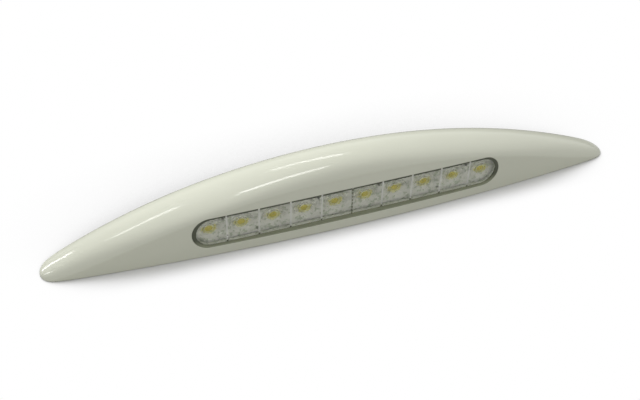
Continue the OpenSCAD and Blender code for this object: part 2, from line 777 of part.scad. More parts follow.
function spline_at(a, b, c, d, t) =
    0.5 * (2 * b + (c - a) * t + (2 * a - 5 * b + 4 * c - d) * t * t + (3 * b - a - 3 * c + d) * t * t * t);
function smooth(route, steps) =
    let (last = len(route) - 1)
    concat(
        [for (i = [0 : last - 1]) for (k = [0 : steps - 1])
            spline_at(route[max(i - 1, 0)], route[i], route[i + 1], route[min(i + 2, last)], k / steps)],
        [route[last]]
    );

module tube(path, r, sides) {
    last = len(path) - 1;
    loft([
        for (i = [0 : last])
            let (
                ahead = path[min(i + 1, last)] - path[max(i - 1, 0)],
                across = cross([0, 0, 1], ahead),
                u = across / norm(across),
                v = cross(ahead, u) / norm(ahead)
            )
            [for (k = [0 : sides - 1]) path[i] + r * (cos(360 * k / sides) * u + sin(360 * k / sides) * v)]
    ]);
}

module lead_red() {
    color([0.75, 0.1, 0.1]) tube(smooth(lead_route(-1, RED_TURN, RED_UP), 3), lead_d / 2, 8);
}

module lead_black() {
    color([0.08, 0.08, 0.08]) tube(smooth(lead_route(1, BLACK_TURN, BLACK_UP), 3), lead_d / 2, 8);
}

// Grommet: the cable's inlet from the wall
module cable_grommet() {
    r_in = cable_d / 2;
    color([0.1, 0.1, 0.1]) translate([grommet_x, grommet_y, 0]) rotate_extrude() polygon([
        [r_in, 0.2], [grommet_r + grommet_lip, 0.2], [grommet_r + grommet_lip, grommet_pocket],
        [grommet_r - 0.1, grommet_pocket], [grommet_r - 0.1, base_t], [grommet_r + grommet_lip, base_t],
        [grommet_r + grommet_lip, base_t + grommet_lip_h], [grommet_r, base_t + grommet_lip_h],
        [r_in + 1, grommet_top], [r_in, grommet_top]
    ]);
}

cover();
base_plate();
wall_seal();
lens();
lens_gasket();
led_board();
thermal_pad();
for (i = [1 : cell_count]) led(i);
led_carrier();
clamp_screws();
foot_screws();
driver_board();
driver_screws();
inductor();
input_capacitor();
output_capacitor();
driver_chip();
rectifier_diode();
chip_resistors();
terminal_block();
terminal_clamps();
terminal_screws();
lead_header();
lead_plug();
lead_red();
lead_black();
cable_grommet();
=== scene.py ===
"""Awning light: the visual model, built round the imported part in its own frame."""

import json
import math

import bmesh
import bpy
import numpy as np
from mathutils import Matrix, Vector


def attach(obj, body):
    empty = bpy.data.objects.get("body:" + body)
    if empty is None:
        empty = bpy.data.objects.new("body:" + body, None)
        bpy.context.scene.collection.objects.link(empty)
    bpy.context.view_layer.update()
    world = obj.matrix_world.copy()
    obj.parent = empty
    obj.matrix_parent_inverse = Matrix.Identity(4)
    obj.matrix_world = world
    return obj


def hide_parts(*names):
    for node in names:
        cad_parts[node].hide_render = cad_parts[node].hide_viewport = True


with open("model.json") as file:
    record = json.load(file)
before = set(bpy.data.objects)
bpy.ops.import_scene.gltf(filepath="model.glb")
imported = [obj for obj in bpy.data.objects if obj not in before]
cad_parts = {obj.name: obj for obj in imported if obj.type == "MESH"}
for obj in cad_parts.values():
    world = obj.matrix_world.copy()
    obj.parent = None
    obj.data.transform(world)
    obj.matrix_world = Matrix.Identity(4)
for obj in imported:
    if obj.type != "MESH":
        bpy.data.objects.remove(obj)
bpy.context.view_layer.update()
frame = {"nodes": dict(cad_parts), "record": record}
nodes = frame["nodes"]
MM = 0.001

# Sizes of the part, in millimetres
COVER_LEN, COVER_W, COVER_H, FACET_H = 380.0, 56.0, 42.5, 36.7
FRONT_SAG, REAR_SAG = 10.7, 27.4
REAR_POWER, TOP_POWER, NOSE_POWER = 3, 1.93, 49
FACET_POWER, FACET_DROP, LEAN_DROP = 2.74, 1.55, 2.9
APEX_SHARE = 0.318
FACE_LEAN, NOSE_LEAN = math.radians(7.2), math.radians(0.5)
NOSE_H, NOSE_SOLID, WALL = 2.5, 12.0, 2.5
WINDOW_L, WINDOW_H, WINDOW_Z = 202.8, 21.4, 17.1
COLLAR_DEPTH, COLLAR_T = 5.0, 1.4
CELL_COUNT, CELL_PITCH = 10, 20.0
BOARD_FRONT = 9.5
LED_SIZE, LED_HEIGHT, LED_DOME = 5.0, 1.6, 4.2
RIB_W, RIB_BACK = 1.1, 2.35
LENS_L, LENS_H = 197.8, 19.6
LED_RECESS_R = 3.9
HALF_LEN = COVER_LEN / 2
CAVITY_HALF = HALF_LEN - NOSE_SOLID
WINDOW_Y = math.tan(FACE_LEAN) * WINDOW_Z - COVER_W / 2


# The cover's form, by curves along the lamp
def along(x):
    return np.minimum(np.abs(x) / HALF_LEN, 1.0)


def front_y(x):
    return FRONT_SAG * along(x) ** 2 - COVER_W / 2


def rear_y(x):
    return COVER_W / 2 - REAR_SAG * along(x) ** REAR_POWER


def top_z(x):
    return COVER_H - (COVER_H - NOSE_H) * along(x) ** TOP_POWER


def facet_z(x):
    return FACET_H * (1 - along(x) ** FACET_POWER) ** FACET_DROP


def lean(x):
    low, high = math.tan(NOSE_LEAN), math.tan(FACE_LEAN)
    return low + (high - low) * (1 - along(x) ** 2) ** LEAN_DROP


def nose(x, half):
    return np.sqrt(np.maximum(0.0, 1 - (np.abs(x) / half) ** NOSE_POWER))


def section_sizes(x, inset, half):
    """Front, rear, top, crease height and the y of crease and apex, for one station of a skin."""
    tip = (rear_y(half) - front_y(half)) / 2 - inset
    n = float(nose(x, half))
    yf = float(front_y(x)) + inset + (1 - n) * tip
    yr = float(rear_y(x)) - inset - (1 - n) * tip
    top = (float(top_z(x)) - inset) * n
    crease = max(min((float(facet_z(x)) * CREASE_SOFT - inset) * n, 0.97 * top), 0.02 * top)
    yc = yf + float(lean(x)) * crease
    return yf, yr, top, crease, yc, yc + APEX_SHARE * (yr - yc)


# The shoulder over the crease: how full it is in the middle of the lamp, and how that eases towards the tips
CREASE_SOFT, SHOULDER_FULL, SHOULDER_RISE = 0.965, 0.78, 1.18
FULL_EASE, RISE_EASE = 0.30, -0.2

# Half the length of the facet's zone that holds the window, and how finely the skins are divided
ZONE = 118.0
NOSE_ARC, NOSE_RUN, ZONE_COLUMNS = 22, 30, 200
FACET_ROWS, SHOULDER_ROWS, REAR_ROWS, RINGS = 14, 40, 34, 10
EDGE_ROUND, MOUTH_ROUND = 0.6, 0.45


def stations(half):
    """Stations from nose to nose, close together where the noses round off."""
    angles = np.radians(np.linspace(3.0, 86.0, NOSE_ARC))
    round_part = half * np.cos(angles) ** (2 / NOSE_POWER)
    run = np.linspace(round_part[-1], ZONE, NOSE_RUN + 1)[1:]
    side = np.concatenate([round_part, run])
    zone = np.linspace(-ZONE, ZONE, ZONE_COLUMNS + 1)
    return np.concatenate([-side[:-1], zone, side[:-1][::-1]])


def window_outline(grow):
    """Points of the window's outline, in step with the loop round the zone of the facet."""
    r = WINDOW_H / 2 + grow
    straight = (WINDOW_L - WINDOW_H) / 2
    xs = np.linspace(-ZONE, ZONE, ZONE_COLUMNS + 1)

    def edge(side):
        points = []
        for x in xs:
            turn = math.radians(45) * max(0.0, abs(x) - straight) / (ZONE - straight)
            mid = math.copysign(min(abs(x), straight), x)
            points.append((mid + math.copysign(r * math.sin(turn), x), side * r * math.cos(turn)))
        return points

    def end(side):
        turns = np.radians(np.linspace(-45, 45, FACET_ROWS + 1))
        return [(side * (straight + r * math.cos(t)), r * math.sin(t)) for t in turns]

    return edge(-1)[:-1] + end(1)[:-1] + edge(1)[::-1][:-1] + end(-1)[::-1][:-1]


def in_unit(x, depth, up):
    """A point of the upright light unit, by its depth behind the window and its height from the centre."""
    return (x, WINDOW_Y + depth, WINDOW_Z + up)


def facet_depth(x, up, inset, half):
    """How deep the bowed, leaning facet lies in the light unit at one place."""
    return section_sizes(x, inset, half)[0] + float(lean(x)) * (WINDOW_Z + up) - WINDOW_Y


class Sheet:
    """Vertices and faces of the cover, gathered piece by piece."""

    def __init__(self):
        self.verts, self.faces = [], []

    def add(self, point):
        self.verts.append(tuple(point))
        return len(self.verts) - 1

    def strip(self, a, b, closed=False):
        count = len(a)
        for i in range(count if closed else count - 1):
            j = (i + 1) % count
            self.faces.append((a[i], a[j], b[j], b[i]))


def build_skin(sheet, inset, half, edge, hole_grow):
    """One skin of the cover with its window left open. Returns its lower edge and the window's loop."""
    xs = stations(half)
    arc = 4 if edge > 0 else 0
    first, last = NOSE_ARC + NOSE_RUN - 1, NOSE_ARC + NOSE_RUN - 1 + ZONE_COLUMNS
    lower_front, lower_rear, facet, upper = [], [], [], []
    for i, x in enumerate(xs):
        yf, yr, top, crease, yc, ya = section_sizes(x, inset, half)
        rho = min(edge, 0.25 * top)
        base = min(rho, crease * 0.5)
        front = [(x, yf + rho * (1 - math.cos(t)) + float(lean(x)) * base, base * (1 - math.sin(t)))
                 for t in np.radians(np.linspace(90, 0, arc + 1)[:-1])]
        rows = FACET_ROWS if not first < i < last else 0
        z_rows = [base + (crease - base) * k / FACET_ROWS for k in range(FACET_ROWS)] if rows else [base]
        facet_points = [(x, yf + float(lean(x)) * z, z) for z in z_rows]
        turns = np.radians(90 * np.linspace(0, 1, SHOULDER_ROWS + 1) ** 1.3)
        full = SHOULDER_FULL + FULL_EASE * float(along(x))
        rise = SHOULDER_RISE + RISE_EASE * float(along(x))
        shoulder = [(x, ya - (ya - yc) * max(0.0, math.cos(t)) ** full,
                     crease + (top - crease) * math.sin(t) ** rise) for t in turns]
        stop = math.acos(min(1.0, rho / top)) if rho > 0 else math.pi / 2
        rear = [(x, ya + (yr - ya) * math.sin(t), top * math.cos(t))
                for t in np.linspace(0, stop, REAR_ROWS + 1)[1:]]
        y_end, z_end = rear[-1][1], rear[-1][2]
        rear += [(x, y_end - rho * (1 - math.cos(t)), z_end * (1 - math.sin(t)))
                 for t in np.radians(np.linspace(0, 90, arc + 1)[1:])]
        front_i = [sheet.add(p) for p in front]
        facet_i = [sheet.add(p) for p in facet_points]
        upper_i = [sheet.add(p) for p in shoulder + rear]
        facet.append((front_i, facet_i))
        upper.append(upper_i)
        lower_front.append((front_i + facet_i)[0])
        lower_rear.append(upper_i[-1])
    for i in range(len(xs) - 1):
        if first <= i < last:
            a = facet[i][0] + facet[i][1][:1]
            b = facet[i + 1][0] + facet[i + 1][1][:1]
            sheet.strip(a, b)
            sheet.strip(upper[i], upper[i + 1])
        else:
            whole = [facet[k][0] + facet[k][1] + upper[k] for k in (i, i + 1)]
            sheet.strip(*whole)
    ends = []
    for i, side in ((0, -1), (len(xs) - 1, 1)):
        ring = facet[i][0] + facet[i][1] + upper[i]
        y_mid = (sheet.verts[ring[0]][1] + sheet.verts[ring[-1]][1]) / 2
        pole = sheet.add((side * half, y_mid, 0))
        for a, b in zip(ring, ring[1:]):
            sheet.faces.append((a, b, pole))
        ends.append(pole)
    # Rings of the facet between the zone's border and the window
    border = [facet[i][1][0] for i in range(first, last)]
    border += facet[last][1][:] + [upper[last][0]]
    border += [upper[i][0] for i in range(last - 1, first, -1)]
    border += [upper[first][0]] + facet[first][1][::-1][:-1]
    outline = window_outline(hole_grow)
    inner = []
    for x, up in outline:
        inner.append(in_unit(x, facet_depth(x, up, inset, half), up))
    rings = [border]
    for k in range(1, RINGS + 1):
        s = 1 - (1 - k / RINGS) ** 1.4
        ring = []
        for corner, goal in zip(border, inner):
            bx, _, bz = sheet.verts[corner]
            x, z = bx + (goal[0] - bx) * s, bz + (goal[2] - bz) * s
            yf = section_sizes(x, inset, half)[0]
            ring.append(sheet.add((x, yf + float(lean(x)) * z, z)))
        rings.append(ring)
    for a, b in zip(rings, rings[1:]):
        sheet.strip(a, b, closed=True)
    loop = lower_front + [ends[1]] + lower_rear[::-1] + [ends[0]]
    return loop, rings[-1]


def build_cover():
    """The glossy cover: outer skin, rim, inner skin, and the collar with its rounded mouth."""
    sheet = Sheet()
    outer_edge, outer_hole = build_skin(sheet, 0.0, HALF_LEN, EDGE_ROUND, MOUTH_ROUND)
    inner_edge, inner_hole = build_skin(sheet, WALL, CAVITY_HALF, 0.0, COLLAR_T)
    sheet.strip(outer_edge, inner_edge, closed=True)
    previous = outer_hole
    for turn in np.radians((22.5, 45, 67.5, 90)):
        grow, sink = MOUTH_ROUND * (1 - math.sin(turn)), MOUTH_ROUND * (1 - math.cos(turn))
        ring = [sheet.add(in_unit(x, facet_depth(x, up, 0.0, HALF_LEN) + sink, up))
                for x, up in window_outline(grow)]
        sheet.strip(previous, ring, closed=True)
        previous = ring
    for grow in (0.0, COLLAR_T):
        ring = [sheet.add(in_unit(x, COLLAR_DEPTH, up)) for x, up in window_outline(grow)]
        sheet.strip(previous, ring, closed=True)
        previous = ring
    sheet.strip(previous, inner_hole, closed=True)
    return make_mesh("cover_skin", sheet.verts, sheet.faces, sharp=35)


def make_mesh(name, verts, faces, sharp=None, smooth=True):
    mesh = bpy.data.meshes.new(name)
    mesh.from_pydata([tuple(c * MM for c in v) for v in verts], [], faces)
    bm = bmesh.new()
    bm.from_mesh(mesh)
    bmesh.ops.remove_doubles(bm, verts=bm.verts, dist=1e-7)
    bmesh.ops.recalc_face_normals(bm, faces=bm.faces)
    for face in bm.faces:
        face.smooth = smooth
    bm.to_mesh(mesh)
    bm.free()
    if sharp is not None:
        mesh.set_sharp_from_angle(angle=math.radians(sharp))
    obj = bpy.data.objects.new(name, mesh)
    bpy.context.scene.collection.objects.link(obj)
    return obj


def add_node(tree, kind, inputs, settings):
    """A new node with its settings, its values and what is linked into it."""
    node = tree.nodes.new(kind)
    for key, value in settings.items():
        setattr(node, key, value)
    for key, value in (inputs or {}).items():
        if isinstance(value, bpy.types.NodeSocket):
            tree.links.new(value, node.inputs[key])
        else:
            node.inputs[key].default_value = value
    return node


# Finishes
class Shader:
    """A node material under construction, with its Principled shader and the object's own coordinates."""

    def __init__(self, name):
        self.material = bpy.data.materials.new(name)
        self.material.use_nodes = True
        self.tree = self.material.node_tree
        self.surface = self.tree.nodes["Principled BSDF"]
        self.coords = self.tree.nodes.new("ShaderNodeTexCoord").outputs["Object"]

    def node(self, kind, inputs=None, **settings):
        return add_node(self.tree, kind, inputs, settings)

    def put(self, socket, value):
        if isinstance(value, bpy.types.NodeSocket):
            self.tree.links.new(value, socket)
        else:
            socket.default_value = value

    def set(self, **values):
        for key, value in values.items():
            self.put(self.surface.inputs[key.replace("_", " ")], value)
        return self

    def stretched(self, x, y, z):
        return self.node("ShaderNodeMapping", {"Vector": self.coords, "Scale": (x, y, z)}).outputs[0]

    def noise(self, per_mm, detail=2.0, vector=None, rough=0.5):
        return self.node("ShaderNodeTexNoise", {
            "Vector": vector or self.coords, "Scale": per_mm / MM, "Detail": detail, "Roughness": rough,
        }).outputs["Fac"]

    def math(self, operation, a, b=0.0):
        return self.node("ShaderNodeMath", {0: a, 1: b}, operation=operation).outputs[0]

    def times(self, a, b):
        return self.math("MULTIPLY", a, b)

    def between(self, value, low, high, start=0.3, end=0.7):
        return self.node("ShaderNodeMapRange", {
            "Value": value, "From Min": start, "From Max": end, "To Min": low, "To Max": high,
        }).outputs[0]

    def blend(self, value, a, b):
        """From colour a to colour b. Either may be another node's colour."""
        a, b = (c if isinstance(c, bpy.types.NodeSocket) else (*c, 1.0) for c in (a, b))
        return self.node("ShaderNodeMix", {0: value, 6: a, 7: b}, data_type="RGBA").outputs[2]

    def bump(self, height, depth_mm, normal=None):
        inputs = {"Height": height, "Distance": depth_mm * MM, "Strength": 1.0}
        if normal is not None:
            inputs["Normal"] = normal
        return self.node("ShaderNodeBump", inputs).outputs[0]


def tinted(color, factor):
    return tuple(min(1.0, c * factor) for c in color)


def gloss_cover(name, color):
    """Moulded glossy plastic: a faint cloudiness, light handling smears and a trace of orange peel."""
    s = Shader(name)
    cloud = s.between(s.noise(0.02, 3.0), 0.0, 1.0)
    peel = s.noise(0.35, 1.0)
    smear = s.between(s.noise(0.05, 4.0, s.stretched(0.4, 1.0, 1.0)), 0.06, 0.11)
    s.set(Base_Color=s.blend(cloud, tinted(color, 0.985), tinted(color, 1.01)), Roughness=smear,
          IOR=1.5, Normal=s.bump(peel, 0.0012))
    return s.material


def grained(name, color, rough, grain_mm=0.35, depth_mm=0.02, vary=0.12):
    """Moulded or rubber surface with a fine spark-eroded grain."""
    s = Shader(name)
    grain = s.noise(1 / grain_mm, 2.0)
    cloud = s.between(s.noise(0.06, 3.0), 0.0, 1.0)
    s.set(Base_Color=s.blend(cloud, tinted(color, 1 - vary), tinted(color, 1 + vary)),
          Roughness=s.between(grain, rough - 0.08, rough + 0.08), Normal=s.bump(grain, depth_mm))
    return s.material


def rubber_with_painted_shade(name, color, lit_ledge_color):
    """Moulded rubber lip with painted shade: darker over its upper part and ends, lighter on its lower ledge.
    """
    s = Shader(name)
    grain = s.noise(2.0, 2.0)
    height = s.node("ShaderNodeSeparateXYZ", {0: s.coords}).outputs[2]
    # Painted shade: the colour turns lighter towards the lower ledge and darker above it, as under the
    # cover's overhang
    lit_ledge = s.between(s.math("ADD", height, s.math("MULTIPLY", grain, 1.5 * MM)), 1.0, 0.0,
                        (WINDOW_Z - 8.0) * MM, (WINDOW_Z - 3.0) * MM)
    s.set(Base_Color=s.blend(lit_ledge, color, lit_ledge_color), Roughness=s.between(grain, 0.42, 0.58),
          Normal=s.bump(grain, 0.01))
    return s.material


def foamed(name, color):
    """Closed-cell rubber with small pores in its skin, painted darker inside the pores as shade."""
    s = Shader(name)
    pores = s.node("ShaderNodeTexVoronoi", {"Vector": s.coords, "Scale": 1.6 / MM}).outputs["Distance"]
    # Painted shade: the colour is darker in each pore and lighter on the skin between
    s.set(Base_Color=s.blend(s.between(pores, 0.0, 1.0, 0.1, 0.6), tinted(color, 0.6), tinted(color, 1.3)),
          Roughness=0.85, Normal=s.bump(pores, 0.06))
    return s.material


def drawn_metal(name, color, rough, direction):
    """Metal with the fine lines that rolling or drawing leaves in one direction."""
    s = Shader(name)
    lines = s.noise(2.5, 3.0, s.stretched(*direction))
    s.set(Base_Color=s.blend(s.between(lines, 0.0, 1.0), tinted(color, 0.88), tinted(color, 1.06)),
          Metallic=1.0, Roughness=s.between(lines, rough - 0.08, rough + 0.1), Normal=s.bump(lines, 0.006))
    return s.material


def masked_board(name, color, track, across_mm=2.2):
    """Solder mask over copper: the tracks show through as slightly raised, slightly brighter bands."""
    s = Shader(name)
    bricks = s.node("ShaderNodeTexBrick", {
        "Vector": s.coords, "Color1": (1, 1, 1, 1), "Color2": (1, 1, 1, 1), "Mortar": (0, 0, 0, 1),
        "Scale": 1 / MM, "Mortar Size": 0.18, "Mortar Smooth": 0.3, "Brick Width": 3.2 * across_mm,
        "Row Height": across_mm,
    }).outputs["Color"]
    speck = s.between(s.noise(1.2, 2.0), 0.0, 0.25)
    mask = s.math("SUBTRACT", bricks, speck)
    s.set(Base_Color=s.blend(mask, color, track), Roughness=0.32, Normal=s.bump(mask, 0.02))
    return s.material


# The lens: its clear and mottled tints, a painted image of the LED's yellow as the optics would show it
# enlarged, and the dark line of its middle joint
CLEAR_TINT, MOTTLED_TINT = (0.975, 0.98, 0.925), (0.64, 0.69, 0.57)
PAINTED_LED_IMAGE_TINT, JOINT_TINT = (0.93, 0.87, 0.32), (0.16, 0.17, 0.11)
SPOT_WIDE, SPOT_HIGH, SPOT_DEPTH = 4.8, 3.1, 4.5
RIM_START, RIM_FULL = LENS_H / 2 - 0.12, LENS_H / 2 - 0.04
OPTICS_DEPTH, SIDES_DEPTH, RELIEF_DEPTH = 3.0, 2.0, 7.0
RIB_FOOT_Z, DASH_LENGTH = WINDOW_Z - 8.4, 1.4


def lens_acrylic(name):
    """Clear moulded acrylic with flow marks, frosted rim, ribs and optics, a painted image of each LED's
    yellow, and a dark joint in the middle.
    """
    s = Shader(name)
    flow = s.noise(0.16, 2.0)
    fine = s.noise(0.9, 2.0)
    x, y, z = s.node("ShaderNodeSeparateXYZ", {0: s.coords}).outputs
    out = s.math("ABSOLUTE", x)
    up = s.math("ABSOLUTE", s.math("SUBTRACT", z, WINDOW_Z * MM))
    depth = s.math("SUBTRACT", y, WINDOW_Y * MM)
    half_cell, half_rib = CELL_PITCH / 2 * MM, RIB_W / 2 * MM
    from_cell = s.math("SUBTRACT", half_cell, s.math("PINGPONG", x, half_cell))
    to_rib = s.math("SUBTRACT", half_cell, s.math("PINGPONG", s.math("ADD", out, half_cell), half_cell))
    relief = s.times(s.noise(0.45, 2.0), s.math("GREATER_THAN", depth, RELIEF_DEPTH * MM))
    wavy = s.bump(relief, 0.5, s.bump(fine, 0.03, s.bump(flow, 0.08)))

    # The rim, the ribs' heads and the dashed joint
    past = s.math("MAXIMUM", s.math("SUBTRACT", out, (LENS_L - LENS_H) / 2 * MM), 0.0)
    reach = s.math("SQRT", s.math("ADD", s.times(past, past), s.times(up, up)))
    rim = s.between(reach, 0.0, 1.0, RIM_START * MM, RIM_FULL * MM)
    near_rib = s.math("LESS_THAN", to_rib, half_rib)
    front = s.math("LESS_THAN", depth, RIB_BACK * MM)
    dashes = s.between(s.math("PINGPONG", z, DASH_LENGTH * MM), 0.25, 1.0, 0.35 * MM, 0.6 * MM)
    in_joint = s.math("LESS_THAN", out, half_rib)
    foot = s.times(near_rib, s.math("LESS_THAN", z, RIB_FOOT_Z * MM))
    joint = s.times(front, s.math("MAXIMUM", foot, s.times(in_joint, dashes)))

    # The frosted optics round each LED
    from_led = s.math("SQRT", s.math("ADD", s.times(from_cell, from_cell), s.times(up, up)))
    back = s.times(s.math("GREATER_THAN", depth, OPTICS_DEPTH * MM),
                   s.math("GREATER_THAN", from_led, LED_RECESS_R * MM))
    drawn = s.times(s.math("MAXIMUM", front, s.times(back, 0.9)), near_rib)
    rib = s.times(drawn, s.math("SUBTRACT", 1.0, in_joint))
    sides = s.math("GREATER_THAN", depth, SIDES_DEPTH * MM)
    worn = s.math("MAXIMUM", s.between(s.noise(0.2, 2.0), 0.45, 0.65), sides)
    low_half = s.between(z, 0.5, 0.0, (WINDOW_Z - 6.0) * MM, (WINDOW_Z + 1.0) * MM)
    cloudy = s.math("ADD", s.between(s.noise(0.32, 4.0, rough=0.7), 0.5, 1.0, 0.35, 0.65), low_half)
    edge = s.times(back, s.between(up, 0.0, 1.0, 6.0 * MM, 8.5 * MM))
    moulded = s.math("MAXIMUM", s.times(back, s.math("MINIMUM", cloudy, 1.0)), edge)
    frost = s.math("MAXIMUM", s.times(s.math("MAXIMUM", rim, rib), worn), moulded)

    # Tints: mottled optics, the ragged painted image of the LED's yellow, the joint
    patches = s.between(s.noise(0.34, 3.0, rough=0.65), 0.0, 1.0, 0.38, 0.5)
    tint = s.blend(s.times(s.math("SUBTRACT", 1.0, patches), back), CLEAR_TINT, MOTTLED_TINT)
    # Painted refraction: the LED's yellow is drawn enlarged on the lens's back by position; the lens's optics
    # do not produce it
    wide, high = s.math("DIVIDE", from_cell, SPOT_WIDE * MM), s.math("DIVIDE", up, SPOT_HIGH * MM)
    ring = s.math("ADD", s.times(wide, wide), s.times(high, high))
    ragged = s.math("ADD", ring, s.between(s.noise(0.6, 3.0), -0.6, 0.6))
    painted_led_image = s.times(s.between(ragged, 1.0, 0.0, 0.6, 1.2), s.math("GREATER_THAN", depth, SPOT_DEPTH * MM))
    color = s.blend(joint, s.blend(painted_led_image, tint, PAINTED_LED_IMAGE_TINT), JOINT_TINT)
    s.set(Base_Color=color, Roughness=s.between(frost, 0.03, 0.55, 0.0, 1.0), IOR=1.49,
          Transmission_Weight=s.between(frost, 1.0, 0.06, 0.0, 1.0), Normal=wavy)
    return s.material


def phosphor(name, color):
    """Phosphor powder in clear silicone."""
    s = Shader(name)
    powder = s.noise(4.0, 3.0)
    s.set(Base_Color=s.blend(s.between(powder, 0.0, 1.0), tinted(color, 0.8), tinted(color, 1.12)),
          Roughness=0.28, Normal=s.bump(powder, 0.01), Coat_Weight=0.6, Coat_Roughness=0.08)
    return s.material


def insulation(name, color):
    """Extruded insulation: fine lengthwise streaks and a soft shine."""
    s = Shader(name)
    streak = s.noise(1.5, 3.0, s.stretched(0.15, 1.0, 1.0))
    s.set(Base_Color=s.blend(s.between(streak, 0.0, 1.0), tinted(color, 0.85), tinted(color, 1.15)),
          Roughness=s.between(streak, 0.3, 0.45), Normal=s.bump(streak, 0.01))
    return s.material


COVER_COLOR = (0.735, 0.75, 0.63)
FINISHES = {
    "cover_gloss": gloss_cover("cover_gloss", COVER_COLOR),
    "base_dark": grained("base_plate_grain", (0.035, 0.035, 0.038), 0.55),
    "seal_rubber": foamed("seal_foam", (0.03, 0.03, 0.03)),
    "lens_clear": lens_acrylic("lens_acrylic"),
    "gasket_rubber": rubber_with_painted_shade("gasket_silicone", (0.09, 0.1, 0.065), (0.3, 0.32, 0.22)),
    "board_white": masked_board("led_board_mask", (0.88, 0.9, 0.8), (0.91, 0.92, 0.85)),
    "led_yellow": phosphor("led_phosphor", (0.68, 0.62, 0.2)),
    "pad_grey": grained("thermal_pad_silicone", (0.2, 0.23, 0.28), 0.7, 0.3, 0.02),
    "carrier_metal": drawn_metal("carrier_mill_finish", (0.66, 0.67, 0.68), 0.34, (0.03, 1, 1)),
    "screw_steel": drawn_metal("screw_zinc", (0.55, 0.56, 0.58), 0.3, (1, 1, 0.1)),
    "board_green": masked_board("driver_board_mask", (0.012, 0.09, 0.035), (0.03, 0.16, 0.06), 1.6),
    "coil_ferrite": grained("inductor_ferrite", (0.03, 0.03, 0.033), 0.5, 0.2, 0.03),
    "can_metal": drawn_metal("capacitor_can", (0.6, 0.61, 0.63), 0.26, (1, 1, 0.05)),
    "chip_black": grained("chip_epoxy", (0.012, 0.012, 0.013), 0.5, 0.15, 0.008),
    "terminal_green": grained("terminal_nylon", (0.03, 0.17, 0.06), 0.42, 0.4, 0.01),
    "clamp_brass": drawn_metal("clamp_brass", (0.7, 0.5, 0.2), 0.3, (0.1, 1, 1)),
    "plug_cream": grained("plug_nylon", (0.7, 0.66, 0.52), 0.42, 0.4, 0.01),
    "lead_red": insulation("lead_insulation_red", (0.42, 0.02, 0.015)),
    "lead_black": insulation("lead_insulation_black", (0.02, 0.02, 0.02)),
    "grommet_rubber": grained("grommet_rubber", (0.03, 0.03, 0.03), 0.62, 0.4, 0.015),
}

LED_BODY = grained("led_body_resin", (0.8, 0.81, 0.74), 0.4, 0.3, 0.004, 0.04)

slot_of = {part["node"]: part["material_slot"] for part in frame["record"]["subparts"]}
for node_name, obj in nodes.items():
    obj.data.materials.clear()
    obj.data.materials.append(FINISHES[slot_of[node_name]])


# Pieces
cover = build_cover()
cover.data.materials.append(FINISHES["cover_gloss"])
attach(cover, "root")
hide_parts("cover")


class Row:
    """A Geometry Nodes tree that sets one shape along a straight row of cells."""

    def __init__(self, name):
        self.tree = bpy.data.node_groups.new(name, "GeometryNodeTree")
        self.name = name
        self.values = {}
        self.tree.interface.new_socket("Geometry", in_out="OUTPUT", socket_type="NodeSocketGeometry")
        self.inlet = self.tree.nodes.new("NodeGroupInput")

    def size(self, label, value, kind="NodeSocketFloat"):
        """A named input of the tree, with its value for this part."""
        socket = self.tree.interface.new_socket(label, in_out="INPUT", socket_type=kind)
        self.values[socket.identifier] = value
        return self.inlet.outputs[label]

    def node(self, kind, inputs=None, **settings):
        return add_node(self.tree, kind, inputs, settings).outputs[0]

    def vector(self, x, y, z):
        return self.node("ShaderNodeCombineXYZ", {0: x, 1: y, 2: z})

    def along_cells(self, shape, material, smooth):
        """Copies of the shape at the cells, made real, with their finish. Returns a plain mesh object."""
        count = self.size("Cells", CELL_COUNT, "NodeSocketInt")
        pitch = self.size("Pitch", CELL_PITCH * MM)
        depth = self.size("Depth", (WINDOW_Y + BOARD_FRONT) * MM)
        height = self.size("Height", WINDOW_Z * MM)
        gaps = self.node("ShaderNodeMath", {0: count, 1: 1.0}, operation="SUBTRACT")
        start = self.node("ShaderNodeMath", {0: self.node(
            "ShaderNodeMath", {0: gaps, 1: pitch}, operation="MULTIPLY"), 1: -0.5}, operation="MULTIPLY")
        line = self.node("GeometryNodeMeshLine", {
            "Count": count, "Start Location": self.vector(start, depth, height),
            "Offset": self.vector(pitch, 0.0, 0.0),
        })
        shaded = self.node("GeometryNodeSetShadeSmooth", {"Geometry": shape, "Shade Smooth": smooth})
        copies = self.node("GeometryNodeInstanceOnPoints", {"Points": line, "Instance": shaded})
        real = self.node("GeometryNodeRealizeInstances", {"Geometry": copies})
        done = self.node("GeometryNodeSetMaterial", {"Geometry": real, "Material": material})
        self.tree.links.new(done, self.tree.nodes.new("NodeGroupOutput").inputs[0])
        host = bpy.data.objects.new(self.name, bpy.data.meshes.new(self.name))
        bpy.context.scene.collection.objects.link(host)
        modifier = host.modifiers.new("row", "NODES")
        modifier.node_group = self.tree
        for identifier, value in self.values.items():
            modifier[identifier] = value
        graph = bpy.context.evaluated_depsgraph_get()
        mesh = bpy.data.meshes.new_from_object(host.evaluated_get(graph), depsgraph=graph)
        host.modifiers.clear()
        host.data = mesh
        return host


